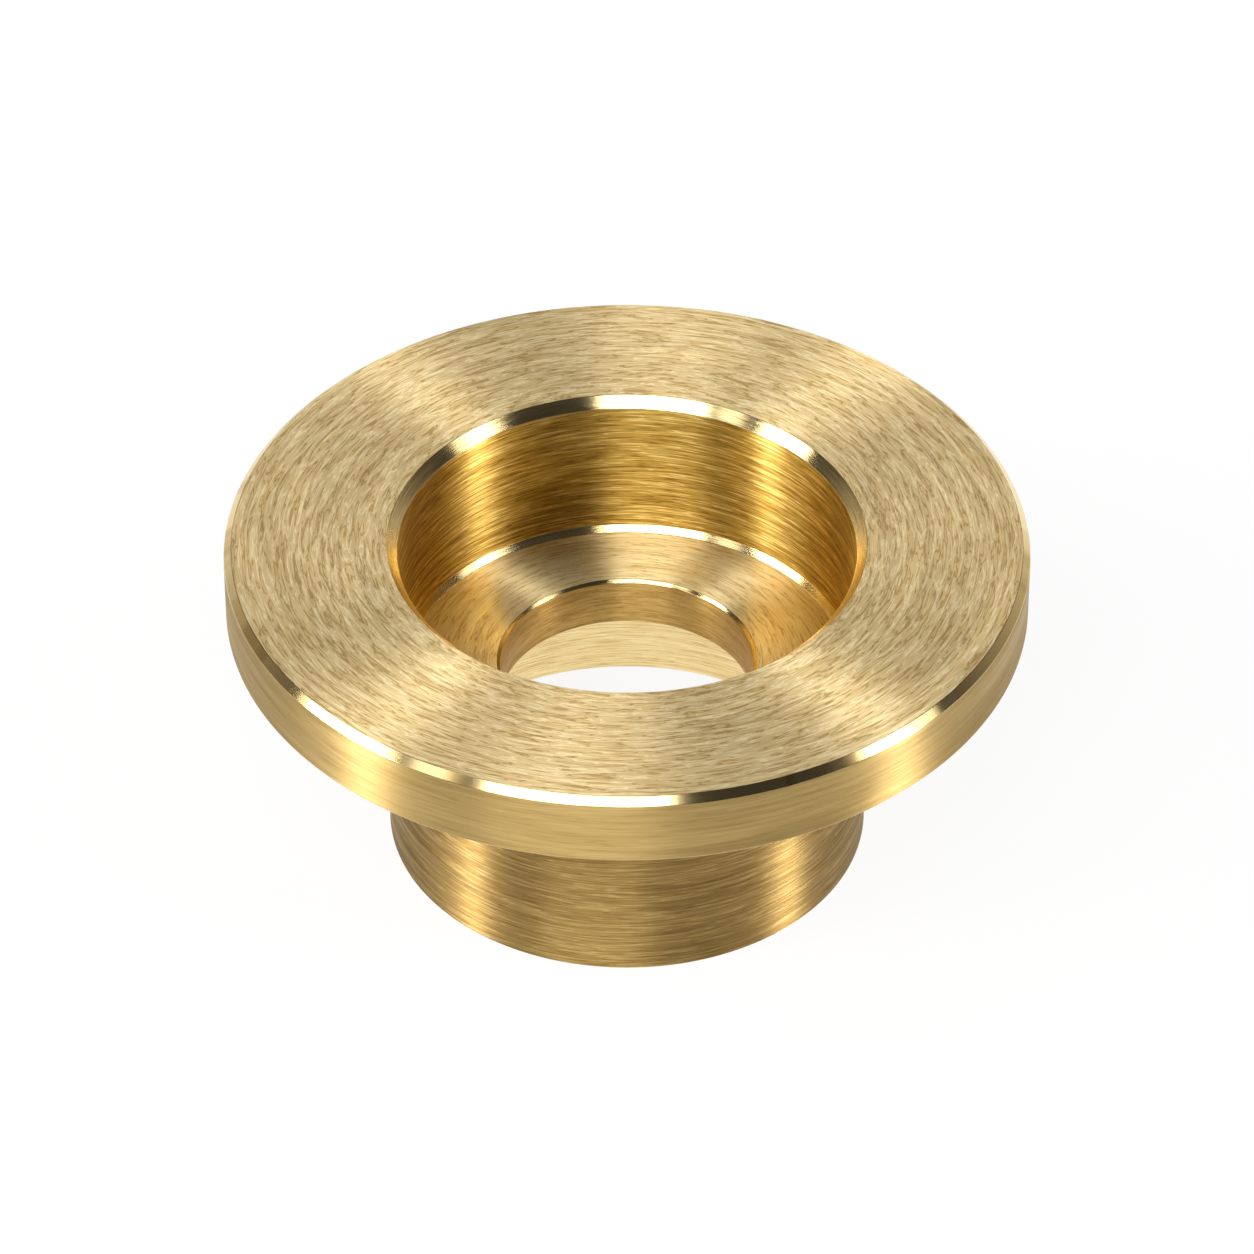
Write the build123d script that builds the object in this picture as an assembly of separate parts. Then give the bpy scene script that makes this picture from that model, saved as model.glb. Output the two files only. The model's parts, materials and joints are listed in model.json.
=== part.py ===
from build123d import *
import os

# A flanged bush, turned from one piece of brass bar.
# A round flange stands on a narrower boss. A bearing seat is bored down through the flange into the boss,
# and a recess of the same diameter is bored up from below. The web left between them carries a central bore.
# Lengths are in millimetres. The origin is the centre of the boss's lower face, and +Z is the turning axis,
# up through the flange.

# Diameters
flange_diameter = 38.6
seat_diameter = 22.0
bore_diameter = 12.3

# The wall of the boss, round the seat and round the recess below it
boss_wall = 0.7

# Lengths along the axis
flange_thickness = 3.65
seat_depth = 8.1
web_rim_thickness = 2.0
recess_depth = 7.0

# The web's upper face is coned: it is this much higher at the bore than at the seat's wall
web_crown = 0.68

# Chamfers, all at 45 degrees, apart from the small one on the web's slope
rim_chamfer = 0.37
seat_chamfer = 0.51
bore_chamfer = 0.18
recess_chamfer = 0.25

# The inner corners, as the turning tool's nose leaves them: a bevelled band round the foot of the seat, and a
# radius in the recess and under the flange
foot_bevel = 0.36
nose_radius = 0.3
shoulder_radius = 0.2

# The foot of the seat flares out by this much, from just above the web's crown down to the floor, so the
# seat's full-size wall ends where a pressed part stops
relief_flare = 0.1
relief_above_crown = 0.05

# Edges that carry no chamfer are broken by this much
edge_break = 0.1

# Radii and heights that follow from the sizes above
flange_radius = flange_diameter / 2
seat_radius = seat_diameter / 2
bore_radius = bore_diameter / 2
boss_radius = seat_radius + boss_wall
web_underside = recess_depth
seat_floor = web_underside + web_rim_thickness
bore_mouth = seat_floor + web_crown
relief_radius = seat_radius + relief_flare
relief_top = bore_mouth + relief_above_crown
flange_top = seat_floor + seat_depth
flange_underside = flange_top - flange_thickness


def corner(radius, height):
    """The corner of the section being drawn that lies nearest to this radius and height."""
    return vertices().sort_by_distance((radius, height, 0))[0]


def turned_section():
    """Half of the bush's section, with the radius along x and the height along y."""
    with BuildSketch() as section:
        with BuildLine():
            Polyline(
                (bore_radius, web_underside),
                (bore_radius, bore_mouth),
                (relief_radius, seat_floor),
                (seat_radius, relief_top),
                (seat_radius, flange_top),
                (flange_radius, flange_top),
                (flange_radius, flange_underside),
                (boss_radius, flange_underside),
                (boss_radius, 0),
                (seat_radius, 0),
                (seat_radius, web_underside),
                close=True,
            )
        make_face()

        # Lead-in and rim chamfers
        chamfer(corner(flange_radius, flange_top), rim_chamfer)
        chamfer(corner(seat_radius, flange_top), seat_chamfer)
        chamfer(corner(bore_radius, bore_mouth), bore_chamfer)
        chamfer(corner(seat_radius, 0), recess_chamfer)

        # Inner corners, as the tool's nose leaves them
        chamfer(corner(relief_radius, seat_floor), foot_bevel)
        fillet(corner(seat_radius, web_underside), nose_radius)
        fillet(corner(boss_radius, flange_underside), shoulder_radius)

        # Broken edges
        chamfer(corner(flange_radius, flange_underside), edge_break)
        chamfer(corner(boss_radius, 0), edge_break)
        chamfer(corner(bore_radius, web_underside), edge_break)
    return section.sketch


flanged_bush = revolve(Plane.XZ * turned_section(), axis=Axis.Z)
flanged_bush.label = "flanged_bush"

os.makedirs("parts", exist_ok=True)
export_step(flanged_bush, "parts/flanged_bush.step")
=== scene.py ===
import json
import math
import random
from collections import namedtuple

import bmesh
import bpy
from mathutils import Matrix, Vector


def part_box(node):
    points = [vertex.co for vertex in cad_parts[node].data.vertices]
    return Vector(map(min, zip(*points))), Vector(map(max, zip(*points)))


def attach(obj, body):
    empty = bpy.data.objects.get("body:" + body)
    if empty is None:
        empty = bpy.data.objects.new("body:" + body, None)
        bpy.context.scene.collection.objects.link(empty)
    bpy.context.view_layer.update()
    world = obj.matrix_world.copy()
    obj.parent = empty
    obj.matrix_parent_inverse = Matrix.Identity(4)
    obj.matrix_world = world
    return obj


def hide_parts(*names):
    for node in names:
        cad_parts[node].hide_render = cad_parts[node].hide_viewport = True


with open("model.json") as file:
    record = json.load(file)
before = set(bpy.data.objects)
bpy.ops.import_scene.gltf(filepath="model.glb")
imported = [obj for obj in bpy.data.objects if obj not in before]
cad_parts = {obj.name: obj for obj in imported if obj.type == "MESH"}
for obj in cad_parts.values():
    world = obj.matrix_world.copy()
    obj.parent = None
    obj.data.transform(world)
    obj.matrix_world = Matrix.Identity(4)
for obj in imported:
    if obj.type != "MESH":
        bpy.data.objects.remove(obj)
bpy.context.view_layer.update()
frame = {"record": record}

# The bush
# One piece of brass, turned from bar in a lathe. Its flange, boss, seat, web and recess are cut round one
# axis, so the whole surface is one section swept about it. The tool leaves a fine groove at each turn of its
# feed.

MM = 0.001
low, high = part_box("flanged_bush")
mounts = {mount["name"]: mount for mount in frame["record"]["mounts"]}

flange_radius = high.x
flange_top = high.z
flange_underside = mounts["flange_shoulder"]["pos_m"][2]
seat_radius = mounts["bearing_seat"]["dims"]["r_mm"] * MM
boss_radius = mounts["boss"]["dims"]["r_mm"] * MM
bore_radius = mounts["through_bore"]["dims"]["r_mm"] * MM
web_underside = mounts["recess_shoulder"]["pos_m"][2]

# The web's upper face is coned and rises to the bore. From just above that rise, the seat's wall flares out
# down to the web's rim.
seat_depth = 8.1 * MM
cone_rise = 0.68 * MM
relief_flare = 0.1 * MM
relief_headroom = 0.05 * MM
seat_floor = flange_top - seat_depth
bore_mouth = seat_floor + cone_rise
relief_radius = seat_radius + relief_flare
relief_top = bore_mouth + relief_headroom

rim_chamfer = 0.37 * MM
seat_chamfer = 0.51 * MM
bore_chamfer = 0.18 * MM
recess_chamfer = 0.25 * MM
seat_corner = 0.36 * MM
recess_corner = 0.3 * MM
shoulder_corner = 0.2 * MM
edge_break = 0.1 * MM

fine_feed = 0.28 * MM
coarse_feed = 0.5 * MM
groove_depth = 0.006 * MM
least_depth_share = 0.2
turn_steps = 192
nose_steps = 4

# The skimmed, roughed, bored and drilled finishes carry painted shade in their darker brass
FACED, SKIMMED_PAINTED_SHADE, ROUGHED_PAINTED_SHADE, BORED_PAINTED_SHADE, DRILLED_PAINTED_SHADE, SEATED, BRIGHT = range(7)

# Each corner of the section, with how far it is cut back and in how many steps (none leaves it sharp, one is
# a chamfer, more are the round of the tool's nose), then the finish and feed of the side that follows it.
# Going round, the metal is on the right.
Corner = namedtuple("Corner", "radius height cut steps finish feed")
section = [
    Corner(bore_radius, web_underside, edge_break, 1, DRILLED_PAINTED_SHADE, fine_feed),
    Corner(bore_radius, bore_mouth, bore_chamfer, 1, SEATED, fine_feed),
    Corner(relief_radius, seat_floor, seat_corner, 1, BORED_PAINTED_SHADE, 0),
    Corner(seat_radius, relief_top, 0, 0, BORED_PAINTED_SHADE, fine_feed),
    Corner(seat_radius, flange_top, seat_chamfer, 1, FACED, fine_feed),
    Corner(flange_radius, flange_top, rim_chamfer, 1, SKIMMED_PAINTED_SHADE, fine_feed),
    Corner(flange_radius, flange_underside, edge_break, 1, FACED, coarse_feed),
    Corner(boss_radius, flange_underside, shoulder_corner, nose_steps, ROUGHED_PAINTED_SHADE, fine_feed),
    Corner(boss_radius, low.z, edge_break, 1, FACED, 0),
    Corner(seat_radius, low.z, recess_chamfer, 1, BRIGHT, coarse_feed),
    Corner(seat_radius, web_underside, recess_corner, nose_steps, SEATED, coarse_feed),
]

turned = bmesh.new()
tool_wander = random.Random(4)


def place_of(corner):
    return Vector((corner.radius, 0, corner.height))


def sweep(run, finish):
    """Sweeps a run of the section once round the axis, in one finish, and joins it to the rest."""
    bmesh.ops.spin(run, geom=[*run.verts, *run.edges], cent=(0, 0, 0), axis=(0, 0, 1), angle=math.tau,
                   steps=turn_steps, use_merge=True)
    for face in run.faces:
        face.material_index = finish
        face.smooth = True
    swept = bpy.data.meshes.new("swept_run")
    run.to_mesh(swept)
    run.free()
    turned.from_mesh(swept)
    bpy.data.meshes.remove(swept)


def turn_side(start, end, finish, feed):
    """Turns a straight side of the section. Each turn of the feed leaves a groove between two ridges."""
    run = bmesh.new()
    side = run.edges.new((run.verts.new(start), run.verts.new(end)))
    if feed:
        length = (end - start).length
        made = bmesh.ops.subdivide_edges(run, edges=[side], cuts=2 * round(length / feed) - 1)
        inner = [item for item in made["geom_inner"] if isinstance(item, bmesh.types.BMVert)]
        inner.sort(key=lambda point: (point.co - start).length)
        into_metal = Vector((end.z - start.z, 0, start.x - end.x)).normalized()
        for point in inner[::2]:
            point.co += into_metal * groove_depth * tool_wander.uniform(least_depth_share, 1.0)
    sweep(run, finish)


def turn_corner(start, corner, end, cut, steps, finish):
    """Turns a corner of the section, cut straight across or rounded by the tool's nose."""
    run = bmesh.new()
    if steps == 1:
        run.edges.new((run.verts.new(start), run.verts.new(end)))
    else:
        # The round stops a hair short of the run's own ends, so that none of its points falls on them
        hair_short = 0.999
        points = [run.verts.new(place) for place in (start, corner, end)]
        run.edges.new(points[:2])
        run.edges.new(points[1:])
        bmesh.ops.bevel(run, geom=[points[1]], offset=cut * hair_short, segments=steps, profile=0.5,
                        affect="VERTICES", material=-1)
    sweep(run, finish)


for index, corner in enumerate(section):
    before = section[index - 1]
    after = section[(index + 1) % len(section)]
    here = place_of(corner)
    into = here + (place_of(before) - here).normalized() * corner.cut
    out_of = here + (place_of(after) - here).normalized() * corner.cut
    next_into = place_of(after) + (here - place_of(after)).normalized() * after.cut
    if corner.steps:
        corner_finish = BRIGHT if corner.steps == 1 else corner.finish
        turn_corner(into, here, out_of, corner.cut, corner.steps, corner_finish)
    turn_side(out_of, next_into, corner.finish, corner.feed)

weld_gap = 0.0005 * MM
bmesh.ops.remove_doubles(turned, verts=turned.verts, dist=weld_gap)
bmesh.ops.recalc_face_normals(turned, faces=turned.faces)
bush_mesh = bpy.data.meshes.new("turned_bush")
turned.to_mesh(bush_mesh)
turned.free()
bush = bpy.data.objects.new("turned_bush", bush_mesh)
bpy.context.scene.collection.objects.link(bush)

# The sharp corners that a tool leaves are rubbed down by a few hundredths of a millimetre
rubbed = bush.modifiers.new("rubbed_edges", "BEVEL")
rubbed.width = 0.04 * MM
rubbed.segments = 2
rubbed.limit_method = "ANGLE"
rubbed.angle_limit = math.radians(25)
rubbed.harden_normals = True

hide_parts("flanged_bush")
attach(bush, "root")

# How a tool's lines are drawn: a noise field is read as a map of heights, and its contours are the lines
contours = 3
field_width = 2
scratch_edge = 0.15
ridge_edge = 0.85

# How far the gloss changes from band to band, and how much longer and wider a band is than a line's field
gloss_change = 0.15
band_turn = 0.25
band_width = 6
usual_noise = (0.3, 0.7)


def add_math(tree, kind, operation, *sources):
    """Adds a math node to a node tree. Each source is the socket of another node, or a plain value."""
    node = tree.nodes.new(kind)
    node.operation = operation
    for socket, source in zip(node.inputs, sources):
        if isinstance(source, bpy.types.NodeSocket):
            tree.links.new(source, socket)
        else:
            socket.default_value = source
    return node


def turned_brass(name, tones, roughness, spread, line_turn, line_spacing, wander, relief):
    """Brass as a tool leaves it: fine lines round the axis, dark and light, and gloss spread across them."""
    material = bpy.data.materials.new(name)
    material.use_nodes = True
    tree = material.node_tree
    nodes = tree.nodes
    links = tree.links

    # The tangent below runs round the axis with the lines, and a quarter turn spreads the gloss across them
    quarter_turn = 0.25
    brass = nodes["Principled BSDF"]
    brass.inputs["Metallic"].default_value = 1.0
    brass.inputs["Anisotropic"].default_value = spread
    brass.inputs["Anisotropic Rotation"].default_value = quarter_turn

    def vector_math(operation, *sources):
        return add_math(tree, "ShaderNodeVectorMath", operation, *sources).outputs["Vector"]

    def value_math(operation, *sources):
        return add_math(tree, "ShaderNodeMath", operation, *sources).outputs["Value"]

    def ranged(value, from_min, from_max, to_min, to_max):
        node = nodes.new("ShaderNodeMapRange")
        node.inputs["From Min"].default_value = from_min
        node.inputs["From Max"].default_value = from_max
        node.inputs["To Min"].default_value = to_min
        node.inputs["To Max"].default_value = to_max
        links.new(value, node.inputs["Value"])
        return node.outputs["Result"]

    place = nodes.new("ShaderNodeTexCoord").outputs["Object"]
    flat = vector_math("MULTIPLY", place, (1, 1, 0))
    tangent = vector_math("NORMALIZE", vector_math("CROSS_PRODUCT", (0, 0, 1), flat))
    links.new(tangent, brass.inputs["Tangent"])
    height = nodes.new("ShaderNodeSeparateXYZ")
    links.new(place, height.inputs["Vector"])
    radius = add_math(tree, "ShaderNodeVectorMath", "LENGTH", flat).outputs["Value"]
    across = nodes.new("ShaderNodeCombineXYZ")
    links.new(value_math("ADD", radius, height.outputs["Z"]), across.inputs["Z"])

    def streaks(turn, width):
        """Noise drawn out round the axis, in streaks of this width. A higher turn makes them shorter."""
        along = vector_math("MULTIPLY", tangent, (turn,) * 3)
        steps = vector_math("MULTIPLY", across.outputs["Vector"], (1, 1, 1 / width))
        node = nodes.new("ShaderNodeTexNoise")
        node.inputs["Scale"].default_value = 1.0
        node.inputs["Detail"].default_value = 2.0
        node.inputs["Roughness"].default_value = 0.5
        node.inputs["Distortion"].default_value = wander
        links.new(vector_math("ADD", along, steps), node.inputs["Vector"])
        return node.outputs["Fac"]

    # The lines wander, fork and close up as contours do, dark in a scratch and light on a ridge
    field = streaks(line_turn, line_spacing * field_width)
    swing = value_math("SINE", value_math("MULTIPLY", field, contours * math.tau))
    line = ranged(swing, -1, 1, 0, 1)
    colour = nodes.new("ShaderNodeValToRGB")
    dark, base, light = tones
    stops = colour.color_ramp.elements
    stops[0].color = (*dark, 1)
    stops[1].color = (*light, 1)
    stops.new(scratch_edge).color = (*base, 1)
    stops.new(ridge_edge).color = (*base, 1)
    links.new(line, colour.inputs["Fac"])
    links.new(colour.outputs["Color"], brass.inputs["Base Color"])

    # Broader bands were cut a little coarser or finer than their neighbours
    band = streaks(line_turn * band_turn, line_spacing * band_width)
    gloss = ranged(band, *usual_noise, roughness * (1 - gloss_change), roughness * (1 + gloss_change))
    links.new(gloss, brass.inputs["Roughness"])

    bump = nodes.new("ShaderNodeBump")
    bump.inputs["Strength"].default_value = 1.0
    bump.inputs["Distance"].default_value = relief
    links.new(line, bump.inputs["Height"])
    links.new(bump.outputs["Normal"], brass.inputs["Normal"])
    return material


# The faced flange has the deepest lines, and the chamfers, with the recess's wall, are the brightest
# The darker tones of the skimmed, roughed, bored and drilled finishes are painted shade, not another brass
finishes = {
    FACED: turned_brass(
        "faced_brass", tones=((0.52, 0.34, 0.125), (0.81, 0.61, 0.295), (0.99, 0.815, 0.48)),
        roughness=0.41, spread=0.95, line_turn=8, line_spacing=0.10 * MM, wander=0.5, relief=0.0095 * MM),
    # The flange side's darker brass is painted shade, for the dim floor that it mirrors
    SKIMMED_PAINTED_SHADE: turned_brass(
        "skimmed_brass_painted_shade", tones=((0.46, 0.31, 0.11), (0.53, 0.365, 0.135), (0.59, 0.42, 0.165)),
        roughness=0.38, spread=1.0, line_turn=3, line_spacing=0.11 * MM, wander=0.1, relief=0.002 * MM),
    # The boss's darker brass is painted shade, for the flange's shade on it and on the floor it mirrors
    ROUGHED_PAINTED_SHADE: turned_brass(
        "roughed_brass_painted_shade", tones=((0.28, 0.17, 0.05), (0.38, 0.245, 0.08), (0.54, 0.38, 0.14)),
        roughness=0.43, spread=1.0, line_turn=3, line_spacing=0.07 * MM, wander=0.05, relief=0.0035 * MM),
    # The seat wall's dark, deep-gold brass is painted shade, for the shade in the seat's hollow
    BORED_PAINTED_SHADE: turned_brass(
        "bored_brass_painted_shade", tones=((0.30, 0.17, 0.03), (0.57, 0.37, 0.08), (0.92, 0.68, 0.24)),
        roughness=0.41, spread=1.0, line_turn=3, line_spacing=0.07 * MM, wander=0.1, relief=0.003 * MM),
    # The bore's darker brass is painted shade, for the hollow it lies in
    DRILLED_PAINTED_SHADE: turned_brass(
        "drilled_brass_painted_shade", tones=((0.42, 0.26, 0.07), (0.56, 0.36, 0.11), (0.66, 0.45, 0.16)),
        roughness=0.36, spread=1.0, line_turn=3, line_spacing=0.07 * MM, wander=0.1, relief=0.003 * MM),
    SEATED: turned_brass(
        "seated_brass", tones=((0.70, 0.50, 0.20), (0.93, 0.76, 0.40), (1.00, 0.88, 0.56)),
        roughness=0.46, spread=1.0, line_turn=4, line_spacing=0.07 * MM, wander=0.1, relief=0.005 * MM),
    BRIGHT: turned_brass(
        "bright_brass", tones=((0.68, 0.47, 0.19), (0.88, 0.67, 0.31), (0.97, 0.79, 0.43)),
        roughness=0.16, spread=0.8, line_turn=3, line_spacing=0.05 * MM, wander=0.05, relief=0.0012 * MM),
}
for finish in sorted(finishes):
    bush_mesh.materials.append(finishes[finish])

# The studio
# A pale floor with soft boxes round it: a wide one over the camera's left shoulder with a narrow wing beside
# it, a high and a low one at each side, and a dim one behind. The room is dark between them, so that a bright
# edge shows where each box ends.

floor_reach = 2.0
floor_gap = 0.01 * MM
floor_shape = bmesh.new()
bmesh.ops.create_grid(floor_shape, x_segments=1, y_segments=1, size=floor_reach)
bmesh.ops.translate(floor_shape, verts=floor_shape.verts, vec=(0, 0, low.z - floor_gap))
floor_mesh = bpy.data.meshes.new("studio_floor")
floor_shape.to_mesh(floor_mesh)
floor_shape.free()
floor = bpy.data.objects.new("studio_floor", floor_mesh)
bpy.context.scene.collection.objects.link(floor)

# The paint is matt and nearly white. Seen straight or in the brass, most of it is plain white and the rest
# takes the light and the bush's shadow.
plain_share = 0.9
floor_paint = bpy.data.materials.new("white_floor")
floor_paint.use_nodes = True
paint_tree = floor_paint.node_tree
paint = paint_tree.nodes["Principled BSDF"]
paint.inputs["Base Color"].default_value = (0.9, 0.9, 0.9, 1)
paint.inputs["Roughness"].default_value = 0.9
paint.inputs["Specular IOR Level"].default_value = 0.0
plain_white = paint_tree.nodes.new("ShaderNodeEmission")
plain_white.inputs["Color"].default_value = (1, 1, 1, 1)
plain_white.inputs["Strength"].default_value = 1.0
ray = paint_tree.nodes.new("ShaderNodeLightPath").outputs
seen = add_math(paint_tree, "ShaderNodeMath", "ADD", ray["Is Camera Ray"], ray["Is Glossy Ray"])
seen_or_through = add_math(
    paint_tree, "ShaderNodeMath", "ADD", seen.outputs["Value"], ray["Is Transmission Ray"])
share = add_math(
    paint_tree, "ShaderNodeMath", "MULTIPLY", seen_or_through.outputs["Value"], plain_share)
share.use_clamp = True
blend = paint_tree.nodes.new("ShaderNodeMixShader")
paint_tree.links.new(share.outputs["Value"], blend.inputs["Fac"])
paint_tree.links.new(paint.outputs["BSDF"], blend.inputs[1])
paint_tree.links.new(plain_white.outputs["Emission"], blend.inputs[2])
paint_tree.links.new(blend.outputs["Shader"], paint_tree.nodes["Material Output"].inputs["Surface"])
floor_mesh.materials.append(floor_paint)

middle = Vector((0, 0, flange_top / 2))
box_distance = 0.6


def soft_box(name, azimuth, elevation, across, tall, brightness):
    """Hangs a soft box that faces the bush. Its azimuth turns from the camera's side towards +X, and across
    and tall are its size as the bush sees it. All four are in degrees."""
    turn = math.radians(azimuth)
    rise = math.radians(elevation)
    way = Vector((math.sin(turn) * math.cos(rise), -math.cos(turn) * math.cos(rise), math.sin(rise)))
    lamp = bpy.data.lights.new(name, "AREA")
    lamp.shape = "RECTANGLE"
    lamp.size = 2 * box_distance * math.tan(math.radians(across) / 2)
    lamp.size_y = 2 * box_distance * math.tan(math.radians(tall) / 2)
    lamp.energy = brightness * math.pi * lamp.size * lamp.size_y
    box = bpy.data.objects.new(name, lamp)
    box.location = middle + way * box_distance
    box.rotation_euler = way.to_track_quat("Z", "Y").to_euler()
    bpy.context.scene.collection.objects.link(box)


soft_box("front_box", azimuth=-15.5, elevation=44.5, across=38, tall=33, brightness=5.7)
soft_box("front_wing", azimuth=-57, elevation=43, across=9, tall=28, brightness=1.8)
soft_box("right_box", azimuth=80, elevation=37, across=20, tall=18, brightness=2.2)
soft_box("left_box", azimuth=-86, elevation=35, across=18, tall=20, brightness=6.0)
soft_box("right_strip", azimuth=74, elevation=20, across=10, tall=28, brightness=20.0)
soft_box("left_strip", azimuth=-70, elevation=19, across=10, tall=26, brightness=22.0)
soft_box("back_box", azimuth=180, elevation=50, across=50, tall=54, brightness=1.0)

# The room's walls are warm and lit near the floor, and fade to nearly black where the high boxes begin. Both
# heights are sines of the angle above the floor.
wall_foot = 0.10
wall_dark = 0.45
room = bpy.data.worlds.new("room")
room.use_nodes = True
room_nodes = room.node_tree.nodes
room_links = room.node_tree.links
way_out = room_nodes.new("ShaderNodeTexCoord")
way_up = room_nodes.new("ShaderNodeSeparateXYZ")
room_links.new(way_out.outputs["Generated"], way_up.inputs["Vector"])
wall_tone = room_nodes.new("ShaderNodeValToRGB")
foot_stop, dark_stop = wall_tone.color_ramp.elements
foot_stop.position = wall_foot
foot_stop.color = (0.50, 0.46, 0.40, 1)
dark_stop.position = wall_dark
dark_stop.color = (0.04, 0.04, 0.04, 1)
room_links.new(way_up.outputs["Z"], wall_tone.inputs["Fac"])
room_links.new(wall_tone.outputs["Color"], room_nodes["Background"].inputs["Color"])
bpy.context.scene.world = room

# The camera
# A long lens looks down at the flange from in front, far enough off that its circles keep nearly true
# ellipses. It is aimed a little below the flange's face.

camera_data = bpy.data.cameras.new("camera")
camera_data.sensor_width = 36.0
camera_data.lens = 193.4
camera_rise = math.radians(38.276)
camera_tip = math.radians(0.746)
camera_distance = 16.70 * flange_radius
camera_back = camera_distance * math.cos(camera_rise)
camera_height = flange_top + camera_distance * math.sin(camera_rise)
camera = bpy.data.objects.new("camera", camera_data)
camera.location = (0, -camera_back, camera_height)
camera.rotation_euler = (math.pi / 2 - camera_rise - camera_tip, 0, 0)
bpy.context.scene.collection.objects.link(camera)
bpy.context.scene.camera = camera
bpy.context.scene.view_settings.view_transform = "Standard"
